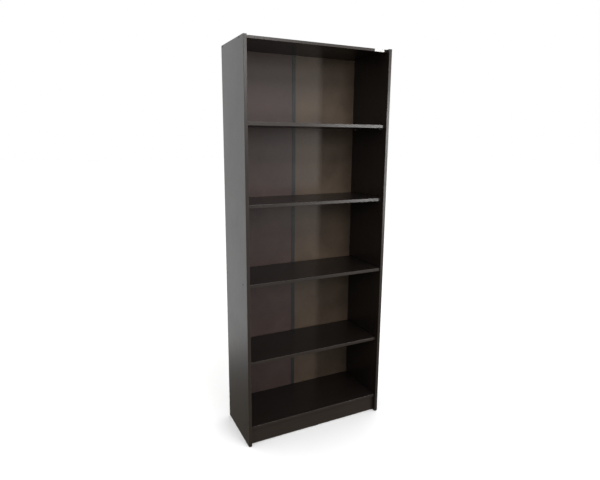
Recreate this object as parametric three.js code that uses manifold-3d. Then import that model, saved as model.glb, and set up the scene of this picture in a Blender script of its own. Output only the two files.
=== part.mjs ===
// A tall bookcase: a flat-pack carcass of laminated board with five bays, one fixed
// middle shelf, three loose shelves on steel pins, a recessed kick plate and a thin back
// made of two halves held together by a plastic H-section strip.
//
// Millimetres. +Z is up, +X is to the right and the open front faces -Y.
// The origin is on the floor, at the centre of the plan.

import * as THREE from 'three';
import { mergeVertices } from 'three/addons/utils/BufferGeometryUtils.js';
import Module from 'manifold-3d';

const wasm = await Module();
wasm.setup();

// ---- Driving dimensions -----------------------------------------------------------

const HEIGHT = 1800;
const WIDTH = 710;
const SIDE_DEPTH = 291;
const BOARD = 15; // thickness of the sides, shelves and kick plate
const TOP_BOARD = 12; // thickness of the top panel
const BACK_BOARD = 3; // thickness of the hardboard back
const GAP = 0.3; // clearance wherever two pieces meet
const EDGE_RADIUS = 1; // easing of the banded front edges

// How far each board's front edge sits behind the front edges of the sides.
const TOP_RECESS = 20;
const FIXED_RECESS = 7;
const BOTTOM_RECESS = 12;
const KICK_RECESS = 20;

// Heights of the boards' top faces above the floor.
const FIXED_SHELF_TOP = 776;
const BOTTOM_SHELF_TOP = 92.5;

// Loose shelves: name, height of the top face, front recess, and how many of the five
// pin holes in each row lie below the one in use.
const LOOSE_SHELVES = [
  { name: 'upper_shelf', top: 1466, recess: 16, holesBelow: 2 },
  { name: 'second_shelf', top: 1122.5, recess: 21, holesBelow: 2 },
  { name: 'lower_shelf', top: 407.5, recess: 19, holesBelow: 1 },
];
const LOOSE_DEPTH = 265;
const LOOSE_END_PLAY = 1; // free space between each end of a loose shelf and its side

// Pin holes, on the 32 mm system.
const HOLES_PER_ROW = 5;
const HOLE_PITCH = 32;
const HOLE_RADIUS = 2.7;
const HOLE_DEPTH = 10;
const PIN_FROM_FRONT = [42, 260];

// Steel shelf pin: a thin shank in the hole and a thicker head under the shelf.
const PIN_SHANK_RADIUS = 2.35;
const PIN_SHANK_LENGTH = 9;
const PIN_HEAD_RADIUS = 3.5;
const PIN_HEAD_LENGTH = 8;

// One-piece connecting screw, driven through the side into a board's end.
const SCREW_FROM_FRONT = [50, 270];
const SCREW_LENGTH = 50;
const SCREW_CORE_RADIUS = 2.4;
const SCREW_SHANK_RADIUS = 3.3;
const SCREW_SHANK_LENGTH = 10;
const SCREW_HEAD_RADIUS = 4.7;
const SCREW_RIM = 1; // straight rim above the head's cone
const SCREW_SINK = 0.5; // depth of the head below the side's outer face
const SOCKET_ACROSS_FLATS = 4;
const SOCKET_DEPTH = 3;

// Wooden dowels between the kick plate and the sides.
const DOWEL_RADIUS = 4;
const DOWEL_LENGTH = 30;
const DOWEL_IN_SIDE = 10;
const DOWEL_HEIGHTS = [25, 57];

// Moulded glides pressed into the bottom edges.
const GLIDE_LENGTH = 40;
const GLIDE_WIDTH = 13;
const GLIDE_HEIGHT = 3;
const GLIDE_PEG_RADIUS = 2.5;
const GLIDE_PEG_LENGTH = 8;
const GLIDE_FROM_FRONT = [24, 264];

// H-section strip that joins the two halves of the back.
const STRIP_WIDTH = 18;
const STRIP_FLANGE = 0.7;
const STRIP_WEB = 1.2;

// Blank paper label on the top panel's front edge.
const LABEL_WIDTH = 51;
const LABEL_HEIGHT = 11;
const LABEL_THICKNESS = 0.2;
const LABEL_CENTRE_X = 300;

const ROUND_SEGMENTS = 16; // flats round a turned piece or a drilled hole
const EASING_SEGMENTS = 1; // flats on each eased corner
const GLIDE_END_SEGMENTS = 8; // flats round each end of a glide
const OVERSHOOT = 1; // how far a drill starts outside the face that it opens
const MERGE_DISTANCE = 1e-4;

// ---- Places worked out from them ---------------------------------------------------

const STRIP_PROUD = GAP + STRIP_FLANGE; // the strip's flange stands this far off the back
const BACK_FRONT = SIDE_DEPTH + GAP;
const BACK_REAR = BACK_FRONT + BACK_BOARD;
const TOTAL_DEPTH = BACK_REAR + STRIP_PROUD;
const FRONT_Y = -TOTAL_DEPTH / 2;
const BOARD_REAR = BACK_FRONT - STRIP_PROUD - GAP; // fixed boards stop short of the strip
const INNER_X = WIDTH / 2 - BOARD; // inner face of the right side
const FIXED_LENGTH = 2 * (INNER_X - GAP);
const BASE_Z = GLIDE_HEIGHT + GAP; // bottom edges of the sides and the kick plate
const BACK_MARGIN = 1; // the back stops this far inside the outline of the carcass
const SIDES = [
  { name: 'left', outward: -1 },
  { name: 'right', outward: 1 },
];
const ENDS = ['front', 'rear'];

const fromFront = (distance) => FRONT_Y + distance;
const pinAxisZ = (shelf) => shelf.top - BOARD - GAP - PIN_HEAD_RADIUS;

// ---- Finishes ----------------------------------------------------------------------

const finish = (color, roughness, metalness) =>
  new THREE.MeshStandardMaterial({ color, roughness, metalness });

const laminate = () => finish(0x2b2422, 0.42, 0);
const hardboard = () => finish(0x4a403a, 0.5, 0);
const darkPlastic = () => finish(0x33333a, 0.45, 0);
const glidePlastic = () => finish(0x1c1c1d, 0.55, 0);
const nickel = () => finish(0xc9c7c2, 0.25, 1);
const darkSteel = () => finish(0x4b4540, 0.4, 1);
const beech = () => finish(0xc8a070, 0.7, 0);
const paper = () => finish(0xf2f1ee, 0.8, 0);

// ---- Solids ------------------------------------------------------------------------

// A closed solid from any three.js geometry: shared vertices are merged and the
// triangles that collapse at a turned piece's poles are dropped.
function toSolid(geometry) {
  const bare = geometry.clone();
  bare.deleteAttribute('normal');
  bare.deleteAttribute('uv');
  const merged = mergeVertices(bare, MERGE_DISTANCE);
  const index = merged.index.array;
  const kept = [];
  for (let i = 0; i < index.length; i += 3) {
    const [a, b, c] = [index[i], index[i + 1], index[i + 2]];
    if (a !== b && b !== c && c !== a) kept.push(a, b, c);
  }
  return new wasm.Manifold(
    new wasm.Mesh({
      numProp: 3,
      vertProperties: new Float32Array(merged.attributes.position.array),
      triVerts: new Uint32Array(kept),
    }),
  );
}

function toGeometry(solid) {
  const mesh = solid.getMesh();
  const geometry = new THREE.BufferGeometry();
  geometry.setAttribute('position', new THREE.BufferAttribute(mesh.vertProperties, 3));
  geometry.setIndex(new THREE.BufferAttribute(mesh.triVerts, 1));
  return geometry;
}

const without = (solid, cutters) =>
  cutters.reduce((rest, cutter) => rest.subtract(cutter), solid);

// A round solid from a profile of [radius, height] pairs that starts and ends on the
// axis. It stands on the origin, along +Y.
function turned(profile, segments = ROUND_SEGMENTS) {
  const points = profile.map(([radius, height]) => new THREE.Vector2(radius, height));
  return new THREE.LatheGeometry(points, segments);
}

const cylinder = (radius, length) =>
  turned([[0, 0], [radius, 0], [radius, length], [0, length]]);

// Turns a geometry that stands along +Y to point along +X or -X, and moves it.
const alongX = (geometry, direction, x, y, z) =>
  geometry.clone().rotateZ(-direction * Math.PI / 2).translate(x, y, z);

const alongZ = (geometry, x, y, z) => geometry.clone().rotateX(Math.PI / 2).translate(x, y, z);

// A board's section: front edge at the origin with both corners eased.
function easedSection(depth, thickness) {
  const r = EDGE_RADIUS;
  const section = new THREE.Shape();
  section.moveTo(r, 0);
  section.lineTo(depth, 0);
  section.lineTo(depth, thickness);
  section.lineTo(r, thickness);
  section.absarc(r, thickness - r, r, Math.PI / 2, Math.PI, false);
  section.lineTo(0, r);
  section.absarc(r, r, r, Math.PI, 1.5 * Math.PI, false);
  return section;
}

const extruded = (section, length, curveSegments = EASING_SEGMENTS) =>
  new THREE.ExtrudeGeometry(section, { depth: length, bevelEnabled: false, curveSegments });

// A level board between the sides, eased front edge at `recess`, underside at `z`.
function levelBoard(length, recess, depth, thickness, z) {
  const lying = new THREE.Matrix4().makeBasis(
    new THREE.Vector3(0, 1, 0),
    new THREE.Vector3(0, 0, 1),
    new THREE.Vector3(1, 0, 0),
  );
  return extruded(easedSection(depth, thickness), length)
    .applyMatrix4(lying)
    .translate(-length / 2, fromFront(recess), z);
}

// ---- Connecting screws --------------------------------------------------------------

// The screw's outline from its tip to its head, grown all round by `clearance`. The hole
// that it leaves is the same outline, carried on through the side's outer face.
function screwOutline(clearance, beyondHead) {
  const core = SCREW_CORE_RADIUS + clearance;
  const shank = SCREW_SHANK_RADIUS + clearance;
  const head = SCREW_HEAD_RADIUS + clearance;
  const cone = SCREW_HEAD_RADIUS - SCREW_SHANK_RADIUS;
  const rim = SCREW_LENGTH - SCREW_RIM;
  return [
    [0, -clearance],
    [core / 2, -clearance],
    [core, core / 2],
    [core, rim - cone - SCREW_SHANK_LENGTH],
    [shank, rim - cone - SCREW_SHANK_LENGTH],
    [shank, rim - cone],
    [head, rim],
    [head, SCREW_LENGTH + beyondHead],
    [0, SCREW_LENGTH + beyondHead],
  ];
}

function screwGeometry() {
  const socketRadius = SOCKET_ACROSS_FLATS / Math.sqrt(3);
  const socket = new THREE.CylinderGeometry(socketRadius, socketRadius, 2 * SOCKET_DEPTH, 6);
  socket.translate(0, SCREW_LENGTH, 0);
  return toGeometry(toSolid(turned(screwOutline(0, 0))).subtract(toSolid(socket)));
}

// Where a screw's tip is, for a side and a distance from the front.
const screwTipX = (side) => side.outward * (WIDTH / 2 - SCREW_SINK - SCREW_LENGTH);

const screwHoles = (side, z) =>
  SCREW_FROM_FRONT.map((distance) =>
    toSolid(
      alongX(
        turned(screwOutline(GAP, SCREW_SINK + OVERSHOOT)), side.outward,
        screwTipX(side), fromFront(distance), z,
      ),
    ),
  );

const SCREWED_BOARDS = [
  { name: 'top_screw', z: HEIGHT - TOP_BOARD / 2 },
  { name: 'fixed_shelf_screw', z: FIXED_SHELF_TOP - BOARD / 2 },
  { name: 'bottom_shelf_screw', z: BOTTOM_SHELF_TOP - BOARD / 2 },
];
const [TOP_SCREWS, FIXED_SCREWS, BOTTOM_SCREWS] = SCREWED_BOARDS;

// ---- Dowels and glides ---------------------------------------------------------------

const DOWEL_Y = fromFront(KICK_RECESS + BOARD / 2);
const dowelOuterX = (side) => side.outward * (INNER_X + DOWEL_IN_SIDE);

function dowelGeometry() {
  const chamfer = 1;
  return turned([
    [0, 0],
    [DOWEL_RADIUS - chamfer, 0],
    [DOWEL_RADIUS, chamfer],
    [DOWEL_RADIUS, DOWEL_LENGTH - chamfer],
    [DOWEL_RADIUS - chamfer, DOWEL_LENGTH],
    [0, DOWEL_LENGTH],
  ]);
}

const dowelHoles = (side) =>
  DOWEL_HEIGHTS.map((z) =>
    toSolid(
      alongX(
        cylinder(DOWEL_RADIUS + GAP, DOWEL_LENGTH + 2 * GAP), -side.outward,
        dowelOuterX(side) + side.outward * GAP, DOWEL_Y, z,
      ),
    ),
  );

// A flat runner with round ends, lying along Y, and a peg that stands on it.
function glideGeometry() {
  const endRadius = GLIDE_WIDTH / 2;
  const straight = GLIDE_LENGTH / 2 - endRadius;
  const outline = new THREE.Shape();
  outline.absarc(0, straight, endRadius, 0, Math.PI, false);
  outline.absarc(0, -straight, endRadius, Math.PI, 2 * Math.PI, false);
  const runner = extruded(outline, GLIDE_HEIGHT, GLIDE_END_SEGMENTS);
  const sunk = 1; // the peg starts inside the runner, so the two join
  const peg = alongZ(
    cylinder(GLIDE_PEG_RADIUS, GLIDE_PEG_LENGTH + sunk), 0, 0, GLIDE_HEIGHT - sunk,
  );
  return toGeometry(toSolid(runner).add(toSolid(peg)));
}

// The blind hole above a glide, which leaves GAP all round its peg.
function pegHole(x, y) {
  const start = BASE_Z - OVERSHOOT;
  const end = GLIDE_HEIGHT + GLIDE_PEG_LENGTH + GAP;
  return toSolid(alongZ(cylinder(GLIDE_PEG_RADIUS + GAP, end - start), x, y, start));
}

const sideCentreX = (side) => side.outward * (WIDTH - BOARD) / 2;

// ---- Panels --------------------------------------------------------------------------

function pinHoles(side) {
  const holes = [];
  for (const shelf of LOOSE_SHELVES) {
    for (let row = 0; row < HOLES_PER_ROW; row += 1) {
      const z = pinAxisZ(shelf) + (row - shelf.holesBelow) * HOLE_PITCH;
      for (const distance of PIN_FROM_FRONT) {
        const start = side.outward * (INNER_X + HOLE_DEPTH);
        const hole = cylinder(HOLE_RADIUS, HOLE_DEPTH + OVERSHOOT);
        holes.push(toSolid(alongX(hole, -side.outward, start, fromFront(distance), z)));
      }
    }
  }
  return holes;
}

function sidePanel(side) {
  // The section's thickness runs along +X, so it is turned a quarter about Z.
  const panel = extruded(easedSection(SIDE_DEPTH, BOARD), HEIGHT - BASE_Z)
    .rotateZ(Math.PI / 2)
    .translate(sideCentreX(side) + BOARD / 2, FRONT_Y, BASE_Z);
  return toGeometry(
    without(toSolid(panel), [
      ...pinHoles(side),
      ...SCREWED_BOARDS.flatMap((board) => screwHoles(side, board.z)),
      ...dowelHoles(side),
      ...GLIDE_FROM_FRONT.map((distance) => pegHole(sideCentreX(side), fromFront(distance))),
    ]),
  );
}

function screwedBoard(recess, thickness, top, screws) {
  const board = levelBoard(FIXED_LENGTH, recess, BOARD_REAR - recess, thickness, top - thickness);
  const holes = SIDES.flatMap((side) => screwHoles(side, screws.z));
  return toGeometry(without(toSolid(board), holes));
}

function kickPlate() {
  const height = BOTTOM_SHELF_TOP - BOARD - GAP - BASE_Z;
  const plate = new THREE.BoxGeometry(FIXED_LENGTH, BOARD, height);
  plate.translate(0, DOWEL_Y, BASE_Z + height / 2);
  const holes = [...SIDES.flatMap(dowelHoles), pegHole(0, DOWEL_Y)];
  return toGeometry(without(toSolid(plate), holes));
}

const looseShelf = (shelf) =>
  levelBoard(
    2 * (INNER_X - LOOSE_END_PLAY), shelf.recess, LOOSE_DEPTH, BOARD, shelf.top - BOARD,
  );

const BACK_BOTTOM = BOTTOM_SHELF_TOP - BOARD + BACK_MARGIN;
const BACK_HEIGHT = HEIGHT - BACK_MARGIN - BACK_BOTTOM;

function backPanel(side) {
  const inner = STRIP_WEB / 2 + GAP;
  const outer = WIDTH / 2 - BACK_MARGIN;
  const panel = new THREE.BoxGeometry(outer - inner, BACK_BOARD, BACK_HEIGHT);
  return panel.translate(
    side.outward * (inner + outer) / 2,
    fromFront(BACK_FRONT + BACK_BOARD / 2),
    BACK_BOTTOM + BACK_HEIGHT / 2,
  );
}

// The strip's H-shaped section: a web between the halves of the back, and a flange on
// each face of them.
function backStrip() {
  const flange = STRIP_WIDTH / 2;
  const web = STRIP_WEB / 2;
  const front = fromFront(BACK_FRONT - STRIP_PROUD);
  const rear = fromFront(TOTAL_DEPTH);
  const slotFront = front + STRIP_FLANGE;
  const slotRear = rear - STRIP_FLANGE;
  const rightHalf = [
    [flange, front], [flange, slotFront], [web, slotFront],
    [web, slotRear], [flange, slotRear], [flange, rear],
  ];
  const leftHalf = rightHalf.map(([x, y]) => [-x, y]).reverse();
  const section = new THREE.Shape(
    [...rightHalf, ...leftHalf].map(([x, y]) => new THREE.Vector2(x, y)),
  );
  return extruded(section, BACK_HEIGHT).translate(0, 0, BACK_BOTTOM);
}

function label() {
  const sheet = new THREE.BoxGeometry(LABEL_WIDTH, LABEL_THICKNESS, LABEL_HEIGHT);
  return sheet.translate(
    LABEL_CENTRE_X,
    fromFront(TOP_RECESS) - GAP - LABEL_THICKNESS / 2,
    HEIGHT - TOP_BOARD / 2,
  );
}

function pinGeometry() {
  const chamfer = 0.5;
  const shoulder = PIN_SHANK_LENGTH + GAP;
  const tip = shoulder + PIN_HEAD_LENGTH;
  return turned([
    [0, 0],
    [PIN_SHANK_RADIUS - chamfer, 0],
    [PIN_SHANK_RADIUS, chamfer],
    [PIN_SHANK_RADIUS, shoulder],
    [PIN_HEAD_RADIUS, shoulder],
    [PIN_HEAD_RADIUS, tip - chamfer],
    [PIN_HEAD_RADIUS - chamfer, tip],
    [0, tip],
  ]);
}

// ---- Assembly --------------------------------------------------------------------------

const bookcase = new THREE.Group();

function addPiece(name, geometry, material, position = [0, 0, 0], turnZ = 0) {
  const mesh = new THREE.Mesh(geometry, material);
  mesh.name = name;
  mesh.position.set(...position);
  mesh.rotation.z = turnZ;
  bookcase.add(mesh);
}

// Turns a piece that stands along +Y to point along +X or -X.
const pointing = (direction) => -direction * Math.PI / 2;

addPiece('top_panel', screwedBoard(TOP_RECESS, TOP_BOARD, HEIGHT, TOP_SCREWS), laminate());
addPiece(
  'fixed_shelf', screwedBoard(FIXED_RECESS, BOARD, FIXED_SHELF_TOP, FIXED_SCREWS), laminate(),
);
addPiece(
  'bottom_shelf', screwedBoard(BOTTOM_RECESS, BOARD, BOTTOM_SHELF_TOP, BOTTOM_SCREWS), laminate(),
);
addPiece('kick_plate', kickPlate(), laminate());
addPiece('back_joining_strip', backStrip(), darkPlastic());
addPiece('blank_label', label(), paper());

for (const side of SIDES) {
  addPiece(`side_${side.name}`, sidePanel(side), laminate());
  addPiece(`back_${side.name}`, backPanel(side), hardboard());

  for (const board of SCREWED_BOARDS) {
    SCREW_FROM_FRONT.forEach((distance, i) => {
      const place = [screwTipX(side), fromFront(distance), board.z];
      addPiece(
        `${board.name}_${side.name}_${ENDS[i]}`, screwGeometry(), darkSteel(),
        place, pointing(side.outward),
      );
    });
  }

  DOWEL_HEIGHTS.forEach((z, i) => {
    const name = `kick_dowel_${side.name}_${['lower', 'upper'][i]}`;
    addPiece(name, dowelGeometry(), beech(), [dowelOuterX(side), DOWEL_Y, z], pointing(-side.outward));
  });

  GLIDE_FROM_FRONT.forEach((distance, i) => {
    const place = [sideCentreX(side), fromFront(distance), 0];
    addPiece(`glide_${side.name}_${ENDS[i]}`, glideGeometry(), glidePlastic(), place);
  });
}
addPiece('glide_centre', glideGeometry(), glidePlastic(), [0, DOWEL_Y, 0], Math.PI / 2);

for (const shelf of LOOSE_SHELVES) {
  addPiece(shelf.name, looseShelf(shelf), laminate());
  for (const side of SIDES) {
    PIN_FROM_FRONT.forEach((distance, i) => {
      const shankEnd = side.outward * (INNER_X + PIN_SHANK_LENGTH);
      addPiece(
        `${shelf.name}_pin_${side.name}_${ENDS[i]}`, pinGeometry(), nickel(),
        [shankEnd, fromFront(distance), pinAxisZ(shelf)], pointing(-side.outward),
      );
    });
  }
}

export default bookcase;
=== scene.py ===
"""The looks of a tall dark bookcase: five open bays, three loose shelves on steel pins and a thin back.

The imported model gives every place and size. Its boards stay and get their materials and rounded
edges here. The hardware and the label are built again with finer shapes. The back's two sheets and
their joining strip are built again too, bellied slightly forward, and the nails that hold them are
added. Metres, +Z up, open front towards -Y.
"""

import math
import random

import bmesh
import bpy
from mathutils import Matrix, Vector, noise


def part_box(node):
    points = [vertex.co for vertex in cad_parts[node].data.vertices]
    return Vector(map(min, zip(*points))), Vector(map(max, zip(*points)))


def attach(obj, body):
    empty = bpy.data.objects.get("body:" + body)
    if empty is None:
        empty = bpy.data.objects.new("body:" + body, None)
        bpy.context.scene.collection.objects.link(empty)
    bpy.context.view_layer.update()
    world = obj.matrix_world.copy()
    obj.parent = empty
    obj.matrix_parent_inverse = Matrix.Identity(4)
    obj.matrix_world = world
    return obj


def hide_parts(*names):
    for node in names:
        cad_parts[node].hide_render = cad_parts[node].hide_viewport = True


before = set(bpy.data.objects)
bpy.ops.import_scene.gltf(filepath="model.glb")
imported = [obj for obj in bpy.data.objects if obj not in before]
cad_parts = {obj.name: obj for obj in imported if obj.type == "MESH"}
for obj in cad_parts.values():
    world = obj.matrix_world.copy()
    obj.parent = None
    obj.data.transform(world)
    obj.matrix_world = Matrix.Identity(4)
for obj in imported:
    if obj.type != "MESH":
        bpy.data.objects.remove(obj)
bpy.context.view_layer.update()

MM = 0.001
NAIL_SEED = 11

# Camera: close to the viewpoint that the bookcase was photographed from, with a smaller shift.
CAMERA_PLACE = Vector((-1.001, -1.985, 1.397))
CAMERA_YAW = math.radians(26.05)
CAMERA_PITCH = math.radians(-11.035)
CAMERA_ROLL = math.radians(0.43)
CAMERA_LENS = 28.2
CAMERA_SENSOR = 36.0
CAMERA_SHIFT = (0.0, -0.015)

LAMINATE_NODES = (
    "side_left", "side_right", "top_panel", "fixed_shelf", "bottom_shelf", "kick_plate",
    "upper_shelf", "second_shelf", "lower_shelf",
)
BACK_NODES = ("back_left", "back_right")
LOOSE_SHELVES = ("upper_shelf", "second_shelf", "lower_shelf")
SCREWED_BOARDS = ("top", "fixed_shelf", "bottom_shelf")
SIDES = ("left", "right")
ENDS = ("front", "rear")

# How much of a noise pattern's change runs along the grain: little, so that it makes long streaks.
GRAIN_ALONG_X = (0.035, 1.0, 1.0)
GRAIN_ALONG_Z = (1.0, 1.0, 0.035)
EDGE_BAND = 0.8 * MM
BOARD_ROUNDING = 0.25 * MM

# The back's two sheets belly forward between the boards that they are nailed to. Each sheet's
# colour is scaled by its own factor: a little redder on the left sheet, as its tone, and much lighter
# on the right sheet, which is a painted sheen standing in for the brighter reflection off that half.
UPPER_BELLY = 4.2 * MM
LOWER_BELLY = 2.5 * MM
BELLY_POWER = 1.4
BACK_COLUMNS = 24
BACK_ROWS = 110
BACK_EDGE = 0.25 * MM
SHEET_TONES_AND_PAINTED_SHEEN = {"back_left": (0.97, 0.92, 1.0), "back_right": (1.26, 1.28, 1.10)}

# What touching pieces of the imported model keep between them.
FACE_GAP = 0.3 * MM

# The window at the front right: its direction and distance from the right side's inner front edge,
# and the height and power in watts of each of its lengths.
WINDOW_AZIMUTH = math.radians(34)
WINDOW_DISTANCE = 4.0
WINDOW_LENGTHS = {"low": (0.7, 15.0), "middle": (1.6, 22.0), "high": (2.6, 2.0)}


# ---- Shader nodes ---------------------------------------------------------------------------


def new_material(name):
    """An empty material: its node tree and the surface shader, already joined to the output."""
    material = bpy.data.materials.new(name)
    material.use_nodes = True
    tree = material.node_tree
    tree.nodes.clear()
    output = tree.nodes.new("ShaderNodeOutputMaterial")
    shader = tree.nodes.new("ShaderNodeBsdfPrincipled")
    tree.links.new(shader.outputs["BSDF"], output.inputs["Surface"])
    return material, tree, shader


def add_node(tree, kind, inputs=None, **settings):
    """A shader node. An input given a socket is linked to it, and any other value is set."""
    node = tree.nodes.new(kind)
    for name, value in settings.items():
        setattr(node, name, value)
    for name, value in (inputs or {}).items():
        if isinstance(value, bpy.types.NodeSocket):
            tree.links.new(value, node.inputs[name])
        else:
            node.inputs[name].default_value = value
    return node


def calc(tree, operation, *values):
    """The result of a maths node."""
    node = add_node(tree, "ShaderNodeMath", dict(enumerate(values)), operation=operation)
    return node.outputs[0]


def vector_calc(tree, operation, *values):
    """The result of a vector maths node."""
    node = add_node(tree, "ShaderNodeVectorMath", dict(enumerate(values)), operation=operation)
    return node.outputs["Vector"]


def place(tree):
    """Where a point is on its piece, in metres, before any pose."""
    return add_node(tree, "ShaderNodeTexCoord").outputs["Object"]


def facing(tree):
    """The surface's direction in the piece's own frame."""
    return add_node(tree, "ShaderNodeTexCoord").outputs["Normal"]


def own_value(tree, name):
    """A vector that each object carries as a property of that name."""
    node = add_node(tree, "ShaderNodeAttribute", attribute_type="OBJECT", attribute_name=name)
    return node.outputs["Vector"]


def split(tree, vector):
    """A vector's or a colour's three numbers, as sockets named X, Y and Z."""
    return add_node(tree, "ShaderNodeSeparateXYZ", {"Vector": vector}).outputs


def pattern(tree, vector, scale, detail=3.0, roughness=0.5):
    """Noise from 0 to 1 around 0.5; scale is in repeats per metre."""
    inputs = {"Vector": vector, "Scale": scale, "Detail": detail, "Roughness": roughness}
    return add_node(tree, "ShaderNodeTexNoise", inputs).outputs["Fac"]


def remap(tree, value, low, high, to_low=0.0, to_high=1.0):
    """value from low to high becomes to_low to to_high, and stays inside them."""
    inputs = {
        "Value": value, "From Min": low, "From Max": high, "To Min": to_low, "To Max": to_high,
    }
    return add_node(tree, "ShaderNodeMapRange", inputs, clamp=True).outputs["Result"]


def blend_colours(tree, factor, first, second):
    """first where factor is 0 and second where it is 1. Each is a colour or a socket."""
    node = add_node(tree, "ShaderNodeMix", {"Factor": factor}, data_type="RGBA")
    for socket, colour in zip((node.inputs[6], node.inputs[7]), (first, second)):
        if isinstance(colour, bpy.types.NodeSocket):
            tree.links.new(colour, socket)
        else:
            socket.default_value = (*colour, 1.0)
    return node.outputs[2]


def relief(tree, height, depth, below=None):
    """Bumps of that depth in metres, on top of an earlier relief if there is one."""
    inputs = {"Height": height, "Distance": depth, "Strength": 1.0}
    if below is not None:
        inputs["Normal"] = below
    return add_node(tree, "ShaderNodeBump", inputs).outputs["Normal"]


def edge_distance(tree, point):
    """How far a point on a box-shaped board is from the nearest edge of that board, in metres."""
    from_low = vector_calc(tree, "SUBTRACT", point, own_value(tree, "board_low"))
    from_high = vector_calc(tree, "SUBTRACT", own_value(tree, "board_high"), point)
    x, y, z = split(tree, vector_calc(tree, "MINIMUM", from_low, from_high))
    smaller = calc(tree, "MINIMUM", x, y)
    larger = calc(tree, "MAXIMUM", x, y)
    return calc(tree, "MAXIMUM", smaller, calc(tree, "MINIMUM", larger, z))


# ---- Materials ------------------------------------------------------------------------------


def laminate():
    """Espresso melamine laminate on board: fine pores along the grain, faint streaks, wiped
    areas that reflect a little more, and a thin band glued on the front edge."""
    dark, brown = (0.0058, 0.0042, 0.0036), (0.0110, 0.0079, 0.0067)
    band_dark, band_brown = (0.0190, 0.0138, 0.0108), (0.0300, 0.0218, 0.0168)
    worn, glue = (0.085, 0.066, 0.054), (0.004, 0.003, 0.003)
    material, tree, shader = new_material("espresso_laminate")
    point = place(tree)
    along_grain = vector_calc(tree, "MULTIPLY", point, own_value(tree, "grain"))
    streaks = pattern(tree, along_grain, 110.0, detail=5.0, roughness=0.6)
    pores = remap(tree, pattern(tree, along_grain, 900.0, detail=2.0), 0.60, 0.72)
    wiped = pattern(tree, point, 7.0, detail=4.0, roughness=0.55)
    ripple = pattern(tree, point, 160.0, detail=2.0)

    colour = blend_colours(tree, remap(tree, streaks, 0.35, 0.70), dark, brown)
    colour = blend_colours(tree, calc(tree, "MULTIPLY", pores, 0.5), colour, dark)

    # The front edge's band is a plainer and slightly paler strip than the faces.
    front = split(tree, vector_calc(tree, "SUBTRACT", point, own_value(tree, "board_low")))["Y"]
    banding = blend_colours(tree, remap(tree, streaks, 0.30, 0.75), band_dark, band_brown)
    on_band = remap(tree, front, 0.95 * EDGE_BAND, EDGE_BAND, 1.0, 0.0)
    colour = blend_colours(tree, on_band, colour, banding)

    # Wear: the sharp corners have lost a little colour where they are handled.
    near_edge = remap(tree, edge_distance(tree, point), 0.0, 0.9 * MM, 1.0, 0.0)
    patchy = remap(tree, pattern(tree, point, 26.0, detail=5.0, roughness=0.7), 0.50, 0.72)
    colour = blend_colours(tree, calc(tree, "MULTIPLY", near_edge, patchy), colour, worn)

    # The glue line behind the band.
    off_line = calc(tree, "ABSOLUTE", calc(tree, "SUBTRACT", front, EDGE_BAND))
    glue_line = remap(tree, off_line, 0.04 * MM, 0.12 * MM, 1.0, 0.0)
    colour = blend_colours(tree, calc(tree, "MULTIPLY", glue_line, 0.8), colour, glue)

    tree.links.new(colour, shader.inputs["Base Color"])
    sheen = remap(tree, wiped, 0.30, 0.70, 0.28, 0.32)
    roughness = calc(tree, "ADD", sheen, calc(tree, "MULTIPLY", pores, 0.12))
    tree.links.new(roughness, shader.inputs["Roughness"])
    normal = relief(tree, ripple, 0.015 * MM)
    normal = relief(tree, calc(tree, "SUBTRACT", 1.0, pores), 0.03 * MM, below=normal)
    tree.links.new(normal, shader.inputs["Normal"])
    return material


def hardboard():
    """Thin hardboard: lacquered dark brown towards the bays, bare brown fibre at the rear."""
    painted_dark, painted = (0.063, 0.0435, 0.0350), (0.090, 0.0630, 0.0505)
    fibre_dark, fibre, bark = (0.105, 0.060, 0.034), (0.215, 0.135, 0.082), (0.035, 0.020, 0.012)
    rear_roughness = 0.82
    material, tree, shader = new_material("brown_hardboard")
    point = place(tree)
    at_rear = remap(tree, split(tree, facing(tree))["Y"], -0.5, 0.0)
    mottle = pattern(tree, point, 9.0, detail=6.0, roughness=0.6)
    speckle = pattern(tree, point, 950.0, detail=3.0, roughness=0.7)
    strands = pattern(tree, vector_calc(tree, "MULTIPLY", point, (1.0, 1.0, 0.18)), 620.0, detail=4.0)
    fleck = remap(tree, pattern(tree, point, 380.0, detail=2.0), 0.66, 0.74)

    face = blend_colours(tree, remap(tree, mottle, 0.32, 0.68), painted_dark, painted)
    face = blend_colours(tree, remap(tree, speckle, 0.35, 0.75, 0.0, 0.35), face, painted_dark)
    raw = blend_colours(tree, remap(tree, strands, 0.30, 0.72), fibre_dark, fibre)
    raw = blend_colours(tree, remap(tree, mottle, 0.30, 0.70, 0.0, 0.45), raw, fibre_dark)
    raw = blend_colours(tree, calc(tree, "MULTIPLY", fleck, 0.7), raw, bark)
    # Each sheet's own factor: a tone on the left sheet, and a painted sheen that lightens the right
    # sheet.
    face = vector_calc(tree, "MULTIPLY", face, own_value(tree, "sheet_tone_and_painted_sheen"))
    tree.links.new(blend_colours(tree, at_rear, face, raw), shader.inputs["Base Color"])

    sheen = remap(tree, mottle, 0.30, 0.70, 0.42, 0.48)
    mix_inputs = {"Factor": at_rear, "A": sheen, "B": rear_roughness}
    roughness = add_node(tree, "ShaderNodeMix", mix_inputs, data_type="FLOAT").outputs["Result"]
    tree.links.new(roughness, shader.inputs["Roughness"])
    shader.inputs["Specular IOR Level"].default_value = 0.35
    normal = relief(tree, pattern(tree, point, 220.0, detail=3.0), 0.03 * MM)
    normal = relief(tree, strands, 0.05 * MM, below=normal)
    tree.links.new(normal, shader.inputs["Normal"])
    return material


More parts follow.
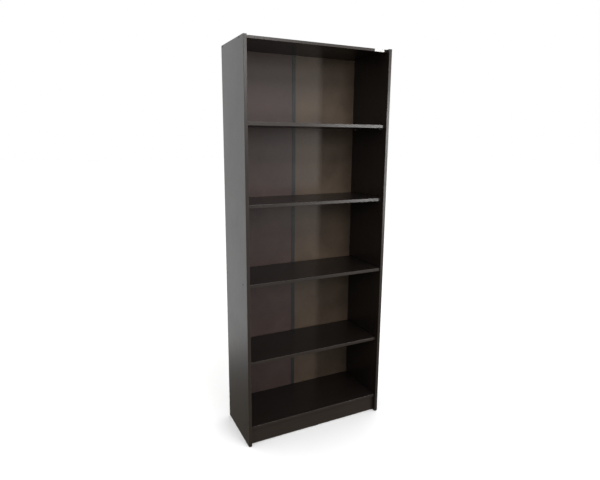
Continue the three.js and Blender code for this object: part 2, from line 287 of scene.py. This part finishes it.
def strip_plastic():
    """Extruded dark plastic with faint draw lines along its length."""
    dark, pale, scuffed = (0.0150, 0.0138, 0.0136), (0.0260, 0.0238, 0.0234), (0.048, 0.045, 0.045)
    material, tree, shader = new_material("strip_plastic")
    point = place(tree)
    drawn = vector_calc(tree, "MULTIPLY", point, (1.0, 1.0, 0.004))
    lines = pattern(tree, drawn, 1500.0, detail=3.0)
    scuffs = pattern(tree, point, 24.0, detail=6.0, roughness=0.7)
    colour = blend_colours(tree, remap(tree, lines, 0.3, 0.7), dark, pale)
    colour = blend_colours(tree, remap(tree, scuffs, 0.58, 0.74, 0.0, 0.4), colour, scuffed)
    tree.links.new(colour, shader.inputs["Base Color"])
    roughness = remap(tree, scuffs, 0.35, 0.75, 0.46, 0.60)
    tree.links.new(roughness, shader.inputs["Roughness"])
    tree.links.new(relief(tree, lines, 0.02 * MM), shader.inputs["Normal"])
    return material


def moulded_plastic():
    """Black moulded plastic with a fine sparked texture and a little dust."""
    black, dusty = (0.011, 0.011, 0.012), (0.075, 0.070, 0.064)
    material, tree, shader = new_material("glide_plastic")
    point = place(tree)
    sparked = pattern(tree, point, 1900.0, detail=2.0)
    dust = pattern(tree, point, 130.0, detail=5.0, roughness=0.7)
    colour = blend_colours(tree, remap(tree, dust, 0.48, 0.75, 0.0, 0.6), black, dusty)
    tree.links.new(colour, shader.inputs["Base Color"])
    tree.links.new(remap(tree, dust, 0.3, 0.7, 0.42, 0.68), shader.inputs["Roughness"])
    tree.links.new(relief(tree, sparked, 0.05 * MM), shader.inputs["Normal"])
    return material


def metal(name, dull, bright, roughness_range, rings_along, rings_across):
    """Turned metal with fine rings round the X axis and small handling marks. The rings' pattern
    repeats rings_along times a metre along the axis, and rings_across times across it."""
    rings = (rings_along, rings_across, rings_across)
    material, tree, shader = new_material(name)
    point = place(tree)
    turned_marks = pattern(tree, vector_calc(tree, "MULTIPLY", point, rings), 1.0, detail=3.0)
    marks = pattern(tree, point, 700.0, detail=5.0, roughness=0.75)
    colour = blend_colours(tree, remap(tree, marks, 0.34, 0.66), dull, bright)
    tree.links.new(colour, shader.inputs["Base Color"])
    shader.inputs["Metallic"].default_value = 1.0
    roughness = remap(tree, marks, 0.30, 0.70, *roughness_range)
    tree.links.new(roughness, shader.inputs["Roughness"])
    tree.links.new(relief(tree, turned_marks, 0.01 * MM), shader.inputs["Normal"])
    return material


def beech():
    """Pale beech with its grain along the dowel, and the short dark rays of that wood."""
    tan, pale, ray = (0.44, 0.27, 0.14), (0.66, 0.46, 0.28), (0.27, 0.14, 0.065)
    material, tree, shader = new_material("beech_dowel")
    point = place(tree)
    grain = pattern(tree, vector_calc(tree, "MULTIPLY", point, (0.06, 1.0, 1.0)), 1100.0, detail=4.0)
    short = pattern(tree, vector_calc(tree, "MULTIPLY", point, (0.35, 1.0, 1.0)), 1500.0)
    rays = remap(tree, short, 0.62, 0.70)
    colour = blend_colours(tree, remap(tree, grain, 0.3, 0.7), tan, pale)
    colour = blend_colours(tree, calc(tree, "MULTIPLY", rays, 0.6), colour, ray)
    tree.links.new(colour, shader.inputs["Base Color"])
    tree.links.new(remap(tree, grain, 0.3, 0.7, 0.62, 0.78), shader.inputs["Roughness"])
    tree.links.new(relief(tree, grain, 0.06 * MM), shader.inputs["Normal"])
    return material


def label_paper():
    """Uncoated white paper with visible fibres, a little yellowed."""
    grey, white, yellowed = (0.76, 0.755, 0.735), (0.88, 0.88, 0.87), (0.72, 0.68, 0.58)
    material, tree, shader = new_material("label_paper")
    point = place(tree)
    fibres = pattern(tree, vector_calc(tree, "MULTIPLY", point, (0.4, 1.0, 1.0)), 2200.0, detail=5.0)
    stain = pattern(tree, point, 60.0, detail=4.0)
    colour = blend_colours(tree, remap(tree, fibres, 0.3, 0.7), grey, white)
    colour = blend_colours(tree, remap(tree, stain, 0.5, 0.8, 0.0, 0.5), colour, yellowed)
    tree.links.new(colour, shader.inputs["Base Color"])
    tree.links.new(remap(tree, fibres, 0.3, 0.7, 0.66, 0.84), shader.inputs["Roughness"])
    tree.links.new(relief(tree, fibres, 0.03 * MM), shader.inputs["Normal"])
    return material


def floor_paint():
    """A pale matt studio floor."""
    material, tree, shader = new_material("pale_floor")
    cloud = pattern(tree, place(tree), 1.3, detail=3.0)
    colour = blend_colours(tree, cloud, (0.86, 0.86, 0.86), (0.90, 0.90, 0.90))
    tree.links.new(colour, shader.inputs["Base Color"])
    shader.inputs["Roughness"].default_value = 0.9
    shader.inputs["Specular IOR Level"].default_value = 0.1
    return material


def dark_steel():
    """Oiled dark steel, on the screws and nails."""
    return metal("dark_steel", (0.055, 0.044, 0.036), (0.17, 0.145, 0.12), (0.30, 0.52), 2600.0, 90.0)


def nickel():
    """Bright nickel plating, on the shelf pins."""
    return metal("nickel_steel", (0.52, 0.50, 0.47), (0.72, 0.70, 0.67), (0.18, 0.36), 3400.0, 80.0)


MATERIALS = {
    "laminate": laminate(),
    "hardboard": hardboard(),
    "strip_plastic": strip_plastic(),
    "glide_plastic": moulded_plastic(),
    "dark_steel": dark_steel(),
    "nickel": nickel(),
    "beech": beech(),
    "label_paper": label_paper(),
}


def paint(piece, slot):
    """Makes one of the materials the piece's only one."""
    piece.data.materials.clear()
    piece.data.materials.append(MATERIALS[slot])


# ---- Boards: the CAD nodes, with rounded edges ------------------------------------------------


def round_edges(board):
    """Joins the faceted faces into whole ones, then rounds every sharp edge."""
    weld = board.modifiers.new("join_faces", "WELD")
    weld.merge_threshold = 0.001 * MM
    flatten = board.modifiers.new("whole_faces", "DECIMATE")
    flatten.decimate_type = "DISSOLVE"
    flatten.angle_limit = math.radians(1.0)
    bevel = board.modifiers.new("rounded_edges", "BEVEL")
    bevel.width = BOARD_ROUNDING
    bevel.segments = 3
    bevel.limit_method = "ANGLE"
    bevel.angle_limit = math.radians(33.0)
    bevel.use_clamp_overlap = False
    smooth = board.modifiers.new("smooth_edges", "WEIGHTED_NORMAL")
    smooth.keep_sharp = True


def dress_board(name, grain):
    """Gives a board its rounded edges, its material and what the material reads from it."""
    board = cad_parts[name]
    low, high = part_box(name)
    board["board_low"] = list(low)
    board["board_high"] = list(high)
    board["grain"] = list(grain)
    round_edges(board)
    paint(board, "laminate")


for node in LAMINATE_NODES:
    upright = node.startswith("side")
    dress_board(node, GRAIN_ALONG_Z if upright else GRAIN_ALONG_X)


# ---- New pieces -------------------------------------------------------------------------------


def finish_mesh(build, name):
    """A bmesh as a mesh, with its faces turned outwards."""
    bmesh.ops.recalc_face_normals(build, faces=build.faces)
    mesh = bpy.data.meshes.new(name)
    build.to_mesh(mesh)
    build.free()
    return mesh


def new_piece(name, mesh, body, slot, smooth_below=math.radians(35.0)):
    """A finished mesh as a piece that rides on a body. Faces that meet under that angle look smooth."""
    piece = bpy.data.objects.new(name, mesh)
    bpy.context.scene.collection.objects.link(piece)
    mesh.shade_smooth()
    mesh.set_sharp_from_angle(angle=smooth_below)
    paint(piece, slot)
    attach(piece, body)
    return piece


# ---- The back: two thin sheets and the strip between them, bellied slightly forward ------------


def bellied(build):
    """Moves the back's points forward of flat: nothing at its nailed edges and at the fixed
    boards, and most half way between them at the joining strip."""
    bottom, fixed, top = [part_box(name) for name in ("bottom_shelf", "fixed_shelf", "top_panel")]
    spans = ((bottom[1].z, fixed[0].z, LOWER_BELLY), (fixed[1].z, top[0].z, UPPER_BELLY))
    half_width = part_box("side_right")[0].x
    for vertex in build.verts:
        across = max(0.0, 1.0 - abs(vertex.co.x) / half_width) ** BELLY_POWER
        z = vertex.co.z
        for low, high, most in spans:
            if low < z < high:
                vertex.co.y -= most * across * math.sin(math.pi * (z - low) / (high - low))


def closed_sheet(low, high, columns, rows, edge):
    """A thin upright sheet as a closed bmesh, gridded for bending, with small chamfers round it."""
    build = bmesh.new()

    def line(start, end, count):
        inside = [start + edge + (end - start - 2 * edge) * i / count for i in range(count + 1)]
        return [start] + inside + [end]

    across, upward = line(low.x, high.x, columns), line(low.z, high.z, rows)
    grids = []
    for y, inward in ((low.y, edge), (high.y, -edge)):
        grid = []
        for k, z in enumerate(upward):
            rim_z = k in (0, len(upward) - 1)
            ring = []
            for i, x in enumerate(across):
                on_rim = rim_z or i in (0, len(across) - 1)
                ring.append(build.verts.new((x, y + inward if on_rim else y, z)))
            grid.append(ring)
        grids.append(grid)
    for grid in grids:
        for lower, upper in zip(grid, grid[1:]):
            for i in range(len(lower) - 1):
                build.faces.new((lower[i], lower[i + 1], upper[i + 1], upper[i]))
    front_rim, rear_rim = rim_of(grids[0]), rim_of(grids[1])
    for i in range(len(front_rim)):
        after = (i + 1) % len(front_rim)
        build.faces.new((front_rim[after], front_rim[i], rear_rim[i], rear_rim[after]))
    return build


def rim_of(grid):
    """The vertices round the outside of a grid, in order."""
    rim = list(grid[0])
    rim += [line[-1] for line in grid[1:]]
    rim += grid[-1][-2::-1]
    rim += [line[0] for line in grid[-2:0:-1]]
    return rim


def make_back_sheet(node):
    """One half of the back, in place of its flat node."""
    low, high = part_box(node)
    build = closed_sheet(low, high, BACK_COLUMNS, BACK_ROWS, BACK_EDGE)
    bellied(build)
    sheet = new_piece(node + "_sheet", finish_mesh(build, node), "carcass", "hardboard")
    # The right sheet's factor paints a lighter sheen on it.
    sheet["sheet_tone_and_painted_sheen"] = SHEET_TONES_AND_PAINTED_SHEEN[node]
    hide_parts(node)


def make_joining_strip(node):
    """The H-section strip, in short lengths so that it follows the back's belly."""
    low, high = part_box(node)
    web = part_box("back_right")[0].x - FACE_GAP
    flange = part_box("back_left")[0].y - FACE_GAP - low.y
    half = [
        (high.x - BACK_EDGE, low.y), (high.x, low.y + BACK_EDGE), (high.x, low.y + flange),
        (web, low.y + flange), (web, high.y - flange), (high.x, high.y - flange),
        (high.x, high.y - BACK_EDGE), (high.x - BACK_EDGE, high.y),
    ]
    outline = half + [(-x, y) for x, y in reversed(half)]
    build = bmesh.new()
    rings = []
    for row in range(BACK_ROWS + 1):
        z = low.z + (high.z - low.z) * row / BACK_ROWS
        rings.append([build.verts.new((x, y, z)) for x, y in outline])
    for lower, upper in zip(rings, rings[1:]):
        for i in range(len(outline)):
            after = (i + 1) % len(outline)
            build.faces.new((lower[i], lower[after], upper[after], upper[i]))
    for ring in (rings[0], rings[-1]):
        build.faces.new(ring)
    bellied(build)
    strip = new_piece(node + "_extruded", finish_mesh(build, node), "carcass", "strip_plastic")
    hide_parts(node)


# ---- Turned hardware --------------------------------------------------------------------------


def turned(build, rows, to_place, segments=32, radius_at=None):
    """Adds a closed turned shape to a bmesh. rows are (distance along the axis, radius) pairs, and
    the first and last are capped with a point on the axis. radius_at may change a ring's radius
    by its angle. to_place turns the axis, which is +X, and moves the shape into the frame."""
    rings = []
    for along, radius in rows:
        ring = []
        for step in range(segments):
            angle = math.tau * step / segments
            reach = radius_at(along, radius, angle) if radius_at else radius
            point = Vector((along, reach * math.cos(angle), reach * math.sin(angle)))
            ring.append(build.verts.new(to_place @ point))
        rings.append(ring)
    for near, far in zip(rings, rings[1:]):
        for step in range(segments):
            after = (step + 1) % segments
            build.faces.new((near[step], near[after], far[after], far[step]))
    for ring, along, flip in ((rings[0], rows[0][0], True), (rings[-1], rows[-1][0], False)):
        tip = build.verts.new(to_place @ Vector((along, 0.0, 0.0)))
        for step in range(segments):
            after = (step + 1) % segments
            corners = (ring[after], ring[step], tip) if flip else (ring[step], ring[after], tip)
            build.faces.new(corners)


def axis_place(node, inward):
    """For a node that lies along X: a matrix whose +X runs along it, from its end in the side
    panel towards the middle of the bookcase if inward, or the other way. Also its length and radius."""
    low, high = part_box(node)
    centre = (low + high) / 2
    on_left = centre.x < 0
    towards_plus_x = on_left == inward
    start = low.x if towards_plus_x else high.x
    turn = Matrix.Identity(4) if towards_plus_x else Matrix.Rotation(math.pi, 4, "Z")
    move = Matrix.Translation((start, centre.y, centre.z))
    return move @ turn, high.x - low.x, (high.z - low.z) / 2


def fillet(along, radius, size, steps, rising):
    """Rows of a quarter round at a turned end: up to full radius if rising, else back from it."""
    rows = []
    for step in range(steps + 1):
        angle = math.pi / 2 * step / steps
        out = size * math.sin(angle)
        on = size * (1 - math.cos(angle))
        rows.append((along + on, radius - size + out) if rising else (along - on, radius - size + out))
    return rows if rising else rows[::-1]


def make_pin(node):
    """A steel shelf pin, which is a body of its own: a rounded shank, a collar that stops at the
    side panel, and a plain head with a shallow groove."""
    shank_share, shank_length = 2.35 / 3.5, 9.0 * MM
    point_round, collar_round, head_round = 0.7 * MM, 0.25 * MM, 0.6 * MM
    flare, flare_start, collar_to_groove = 0.35 * MM, 0.1 * MM, 2.2 * MM
    groove_profile = ((-0.45, 0.0), (-0.25, 0.16), (0.0, 0.22), (0.25, 0.16), (0.45, 0.0))
    to_place, length, radius = axis_place(node, inward=True)
    shank = radius * shank_share
    head = shank_length + FACE_GAP
    groove = head + collar_to_groove
    rows = fillet(0.0, shank, point_round, 4, rising=True)
    rows += [(head - flare, shank), (head - flare_start, shank + flare_start), (head, shank + flare)]
    rows += fillet(head, radius, collar_round, 3, rising=True)
    for offset, drop in groove_profile:
        rows.append((groove + offset * MM, radius - drop * MM))
    rows += fillet(length, radius, head_round, 4, rising=False)
    build = bmesh.new()
    turned(build, rows, to_place)
    pin = new_piece(node + "_steel", finish_mesh(build, node + "_steel"), node, "nickel")
    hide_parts(node)


def make_screw(node):
    """A one-piece connecting screw: a cylindrical point, a coarse thread, a plain shank, a
    countersunk head and a hexagonal socket in it."""
    core, crest, shank = 2.05 * MM, 2.38 * MM, 3.3 * MM
    thread_pitch, thread_start, thread_end = 3.0 * MM, 3.0 * MM, 36.0 * MM
    rim, shank_length, rows_per_turn, ridge_share = 1.0 * MM, 10.0 * MM, 8, 0.28
    point_round, shoulder, rim_round = 0.8 * MM, 0.3 * MM, 0.3 * MM
    socket_flats, socket_depth, socket_rim = 4.0 * MM, 3.0 * MM, 0.25 * MM
    drill_cone, drill_tip, past_head = 0.9 * MM, 0.02 * MM, 1.0 * MM
    to_place, length, head = axis_place(node, inward=False)
    cone = head - shank

    def threaded(along, radius, angle):
        if not thread_start <= along <= thread_end:
            return radius
        fade = min(1.0, (along - thread_start) / thread_pitch, (thread_end - along) / thread_pitch)
        turn_share = (along / thread_pitch - angle / math.tau) % 1.0
        ridge = max(0.0, 1.0 - abs(turn_share - 0.5) / ridge_share)
        return core + (crest - core) * ridge * fade

    rows = fillet(0.0, core, point_round, 4, rising=True)
    count = round((thread_end - thread_start) / thread_pitch * rows_per_turn)
    rows += [(thread_start + (thread_end - thread_start) * i / count, core) for i in range(count + 1)]
    base = length - rim - cone
    rows += [(base - shank_length, core), (base - shank_length + shoulder, shank), (base, shank)]
    rows += [(length - rim, head)]
    rows += fillet(length, head, rim_round, 3, rising=False)
    build = bmesh.new()
    turned(build, rows, to_place, segments=24, radius_at=threaded)
    shape = finish_mesh(build, node + "_shape")
    screw = new_piece(node + "_steel", shape, "carcass", "dark_steel")

    cutter_build = bmesh.new()
    corner = socket_flats / math.sqrt(3.0)
    deep = length - socket_depth
    hexagon = [
        (deep - drill_cone, drill_tip), (deep, corner), (length - socket_rim, corner),
        (length + socket_rim, corner + 2 * socket_rim), (length + past_head, corner + 2 * socket_rim),
    ]
    turned(cutter_build, hexagon, to_place, segments=6)
    cut_with(screw, cutter_build)
    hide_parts(node)


def cut_with(piece, cutter_build):
    """Cuts a closed bmesh out of a piece and keeps the result as its mesh."""
    cutter = bpy.data.objects.new("cutter", finish_mesh(cutter_build, "cutter"))
    bpy.context.scene.collection.objects.link(cutter)
    cut = piece.modifiers.new("socket", "BOOLEAN")
    cut.operation = "DIFFERENCE"
    cut.solver = "EXACT"
    cut.object = cutter
    bpy.context.view_layer.update()
    evaluated = piece.evaluated_get(bpy.context.evaluated_depsgraph_get())
    shaped = bpy.data.meshes.new_from_object(evaluated)
    piece.modifiers.clear()
    piece.data = shaped
    shaped.name = piece.name
    bpy.data.objects.remove(cutter)


def make_dowel(node):
    """A fluted beech dowel with chamfered ends."""
    flutes, flute_depth, chamfer = 16, 0.22 * MM, 1.0 * MM
    to_place, length, radius = axis_place(node, inward=True)

    def fluted(along, ring_radius, angle):
        if not chamfer <= along <= length - chamfer:
            return ring_radius
        return ring_radius - flute_depth * (0.5 - 0.5 * math.cos(flutes * angle)) ** 2

    rows = [(0.0, radius - chamfer), (chamfer, radius), (length / 2, radius)]
    rows += [(length - chamfer, radius), (length, radius - chamfer)]
    build = bmesh.new()
    turned(build, rows, to_place, segments=flutes * 6, radius_at=fluted)
    shape = finish_mesh(build, node)
    dowel = new_piece(node + "_fluted", shape, "carcass", "beech", math.radians(50.0))
    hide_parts(node)


def make_glide(node):
    """A moulded glide: a runner with round ends, a rolled lower edge and a ribbed peg."""
    low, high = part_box(node)
    runner_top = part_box("side_left")[0].z - FACE_GAP
    centre = (low + high) / 2
    long_in_y = high.y - low.y > high.x - low.x
    half_width = min(high.x - low.x, high.y - low.y) / 2
    straight = max(high.x - low.x, high.y - low.y) / 2 - half_width
    roll, steps, arc_steps, chamfer = 1.1 * MM, 5, 12, 0.3 * MM
    peg_radius, ribs, rib_start, rib_length, sunk = 2.5 * MM, 4, 0.2 * MM, 1.1 * MM, 0.05 * MM

    def outline(inset):
        points = []
        for end in (1, -1):
            for step in range(arc_steps + 1):
                angle = math.pi * step / arc_steps + (0 if end > 0 else math.pi)
                across = (half_width - inset) * math.cos(angle)
                along = (half_width - inset) * math.sin(angle) + end * straight
                points.append((across, along) if long_in_y else (-along, across))
        return points

    levels = []
    for step in range(steps + 1):
        angle = math.pi / 2 * step / steps
        levels.append((roll * (1 - math.sin(angle)), low.z + roll * (1 - math.cos(angle))))
    levels += [(0.0, runner_top - chamfer), (chamfer, runner_top)]
    build = bmesh.new()
    rings = [
        [build.verts.new((centre.x + x, centre.y + y, z)) for x, y in outline(inset)]
        for inset, z in levels
    ]
    for lower, upper in zip(rings, rings[1:]):
        for i, vertex in enumerate(lower):
            after = (i + 1) % len(lower)
            build.faces.new((vertex, lower[after], upper[after], upper[i]))
    build.faces.new(rings[0])
    build.faces.new(rings[-1])

    peg_core, peg_tip = peg_radius * 0.86, peg_radius * 0.55
    peg_length = high.z - runner_top
    move = Matrix.Translation((centre.x, centre.y, runner_top - sunk))
    stand = move @ Matrix.Rotation(-math.pi / 2, 4, "Y")
    rows = [(0.0, peg_core)]
    for rib in range(ribs):
        start = peg_length * (rib + 0.5) / (ribs + 1)
        rows += [(start, peg_core), (start + rib_start, peg_radius), (start + rib_length, peg_core)]
    rows += [(peg_length - 0.9 * MM, peg_core), (peg_length, peg_tip)]
    turned(build, rows, stand, segments=20)
    shape = finish_mesh(build, node)
    glide = new_piece(node + "_moulded", shape, "carcass", "glide_plastic", math.radians(40.0))
    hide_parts(node)


for node in BACK_NODES:
    make_back_sheet(node)
make_joining_strip("back_joining_strip")
for shelf in LOOSE_SHELVES:
    for side in SIDES:
        for end in ENDS:
            make_pin(f"{shelf}_pin_{side}_{end}")
for board_name in SCREWED_BOARDS:
    for side in SIDES:
        for end in ENDS:
            make_screw(f"{board_name}_screw_{side}_{end}")
for side in SIDES:
    for level in ("lower", "upper"):
        make_dowel(f"kick_dowel_{side}_{level}")
    for end in ENDS:
        make_glide(f"glide_{side}_{end}")
make_glide("glide_centre")


# ---- Label and nails --------------------------------------------------------------------------


def make_label(node):
    """A paper label with round corners, pressed on slightly unevenly."""
    low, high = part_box(node)
    columns, rows, corner, wave, waves_per_metre = 40, 10, 1.6 * MM, 0.1 * MM, 90.0
    width, height = high.x - low.x, high.z - low.z
    build = bmesh.new()

    def sheet(y_at):
        grid = []
        for row in range(rows + 1):
            z = low.z + height * row / rows
            from_end = min(z - low.z, high.z - z)
            inset = 0.0
            if from_end < corner:
                inset = corner - math.sqrt(corner ** 2 - (corner - from_end) ** 2)
            line = []
            for column in range(columns + 1):
                x = low.x + inset + (width - 2 * inset) * column / columns
                line.append(build.verts.new((x, y_at(x, z), z)))
            grid.append(line)
        return grid

    def front_at(x, z):
        return low.y + wave * (0.5 + 0.5 * noise.noise(Vector((x, 0.0, z)) * waves_per_metre))

    front, rear = sheet(front_at), sheet(lambda x, z: high.y)
    for row in range(rows):
        for column in range(columns):
            for grid, flip in ((front, False), (rear, True)):
                corners = [
                    grid[row][column], grid[row][column + 1],
                    grid[row + 1][column + 1], grid[row + 1][column],
                ]
                build.faces.new(corners[::-1] if flip else corners)
    front_rim, rear_rim = rim_of(front), rim_of(rear)
    for i in range(len(front_rim)):
        after = (i + 1) % len(front_rim)
        build.faces.new((front_rim[after], front_rim[i], rear_rim[i], rear_rim[after]))
    shape = finish_mesh(build, node)
    label = new_piece(node + "_paper", shape, "carcass", "label_paper", math.radians(40.0))
    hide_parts(node)


def make_back_nails():
    """Flat-headed nails through the back into the sides and the three fixed boards, knocked in by
    hand: a little off their line, leaning and uneven in height."""
    spacing, shank, shank_length = 150 * MM, 0.9 * MM, 2.5 * MM
    head_radius, head_height = 2.5 * MM, 0.7 * MM
    clear_of_strip, clear_of_side, from_end = 30 * MM, 60 * MM, 30 * MM
    off_line_x, off_line_z, lean_limit = 1.5, 1.2, 1.5
    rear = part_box("back_left")[1].y
    low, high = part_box("back_left")[0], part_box("back_right")[1]
    span = high.z - low.z - 2 * from_end
    chance = random.Random(NAIL_SEED)
    spots = []
    for name in ("side_left", "side_right"):
        side_low, side_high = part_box(name)
        x = (side_low.x + side_high.x) / 2
        count = round(span / spacing)
        for i in range(count + 1):
            spots.append((x, low.z + from_end + span * i / count))
    for name in ("top_panel", "fixed_shelf", "bottom_shelf"):
        board_low, board_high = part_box(name)
        z = (board_low.z + board_high.z) / 2
        reach = board_high.x - clear_of_side
        count = round((reach - clear_of_strip) / spacing)
        for i in range(count + 1):
            x = clear_of_strip + (reach - clear_of_strip) * i / count
            spots += [(x, z), (-x, z)]
    build = bmesh.new()
    for x, z in spots:
        x += chance.uniform(-off_line_x, off_line_x) * MM
        z += chance.uniform(-off_line_z, off_line_z) * MM
        height = head_height * chance.uniform(0.7, 1.0)
        lean = Matrix.Rotation(math.radians(chance.uniform(-lean_limit, lean_limit)), 4, "X")
        stand = Matrix.Translation((x, rear, z)) @ lean @ Matrix.Rotation(math.pi / 2, 4, "Z")
        rows = [(-shank_length, shank), (-0.1 * MM, shank), (0.02 * MM, head_radius - 0.2 * MM)]
        rows += [(0.12 * MM, head_radius), (height - 0.25 * MM, head_radius)]
        rows += [(height - 0.06 * MM, head_radius - 0.3 * MM), (height, head_radius - 1.0 * MM)]
        turned(build, rows, stand, segments=20)
    new_piece("back_nails", finish_mesh(build, "back_nails"), "carcass", "dark_steel")


make_label("blank_label")
make_back_nails()


# ---- Camera, light and floor ------------------------------------------------------------------


def make_camera():
    """The main view's camera, turned from level by its yaw, pitch and roll."""
    data = bpy.data.cameras.new("camera")
    data.sensor_fit = "HORIZONTAL"
    data.sensor_width = CAMERA_SENSOR
    data.lens = CAMERA_LENS
    data.shift_x, data.shift_y = CAMERA_SHIFT
    data.clip_start, data.clip_end = 0.05, 60.0
    camera = bpy.data.objects.new("camera", data)
    bpy.context.scene.collection.objects.link(camera)
    yaw = Matrix.Rotation(-CAMERA_YAW, 4, "Z")
    pitch = Matrix.Rotation(math.pi / 2 + CAMERA_PITCH, 4, "X")
    roll = Matrix.Rotation(CAMERA_ROLL, 4, "Z")
    camera.matrix_world = Matrix.Translation(CAMERA_PLACE) @ (yaw @ pitch) @ roll
    bpy.context.scene.camera = camera


def make_area_light(name, location, target, size, power):
    """A white rectangular light aimed at a point; power is in watts."""
    data = bpy.data.lights.new(name, "AREA")
    data.shape = "RECTANGLE"
    data.size, data.size_y = size
    data.energy = power
    light = bpy.data.objects.new(name, data)
    bpy.context.scene.collection.objects.link(light)
    light.location = location
    aim = Vector(target) - Vector(location)
    light.rotation_mode = "QUATERNION"
    light.rotation_quaternion = aim.to_track_quat("-Z", "Y")


def make_surroundings():
    """Soft studio walls: white behind and at the sides, under half as bright in front, a brighter
    ceiling, and a dark warm floor for reflections. Looked at directly, all of it is plain white."""
    white, front_wall, ceiling = (1.0, 1.0, 1.0), (0.42, 0.42, 0.42), (1.8, 1.8, 1.8)
    low = (0.14, 0.12, 0.095)
    ceiling_starts, ceiling_full = math.sin(math.radians(45)), math.sin(math.radians(55))
    floor_full, floor_ends = math.sin(math.radians(-26.5)), math.sin(math.radians(-24.1))
    world = bpy.data.worlds.new("studio")
    bpy.context.scene.world = world
    world.use_nodes = True
    tree = world.node_tree
    tree.nodes.clear()
    direction = split(tree, add_node(tree, "ShaderNodeTexCoord").outputs["Generated"])
    behind = remap(tree, direction["Y"], -0.36, -0.16)
    overhead = remap(tree, direction["Z"], ceiling_starts, ceiling_full)
    above = remap(tree, direction["Z"], floor_full, floor_ends)
    colour = blend_colours(tree, behind, front_wall, white)
    colour = blend_colours(tree, overhead, colour, ceiling)
    colour = blend_colours(tree, above, low, colour)
    seen = add_node(tree, "ShaderNodeLightPath").outputs["Is Camera Ray"]
    colour = blend_colours(tree, seen, colour, white)
    light = add_node(tree, "ShaderNodeBackground", {"Color": colour, "Strength": 1.0})
    output = add_node(tree, "ShaderNodeOutputWorld")
    tree.links.new(light.outputs["Background"], output.inputs["Surface"])


def make_lights():
    """A tall narrow window at the front right, in three lengths, and soft lights above, in front and
    at the left."""
    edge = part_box("side_right")[0]
    x = edge.x + WINDOW_DISTANCE * math.sin(WINDOW_AZIMUTH)
    y = edge.y - WINDOW_DISTANCE * math.cos(WINDOW_AZIMUTH)
    for part, (z, power) in WINDOW_LENGTHS.items():
        make_area_light(f"window_{part}", (x, y, z), (edge.x, edge.y, z), (0.35, 0.5), power)
    make_area_light("overhead", (0.3, -2.4, 3.3), (0.0, 0.0, 1.0), (1.5, 1.0), 40.0)
    make_area_light("front", (0.72, -3.49, 2.3), (0.0, 0.0, 1.4), (0.8, 0.8), 14.0)
    make_area_light("left_fill", (-2.4, -1.6, 1.7), (0.3, 0.1, 1.5), (0.6, 0.6), 14.0)


def make_floor():
    """A wide pale floor that only the camera sees, so that it doesn't light the dark bays."""
    reach = 30.0
    build = bmesh.new()
    corners = [(-reach, -reach), (reach, -reach), (reach, reach), (-reach, reach)]
    build.faces.new([build.verts.new((x, y, 0.0)) for x, y in corners])
    floor = bpy.data.objects.new("floor", finish_mesh(build, "floor"))
    bpy.context.scene.collection.objects.link(floor)
    floor.data.materials.append(floor_paint())
    floor.visible_diffuse = False
    floor.visible_glossy = False
    floor.visible_shadow = False


make_camera()
make_surroundings()
make_floor()
make_lights()
bpy.context.scene.view_settings.view_transform = "Standard"
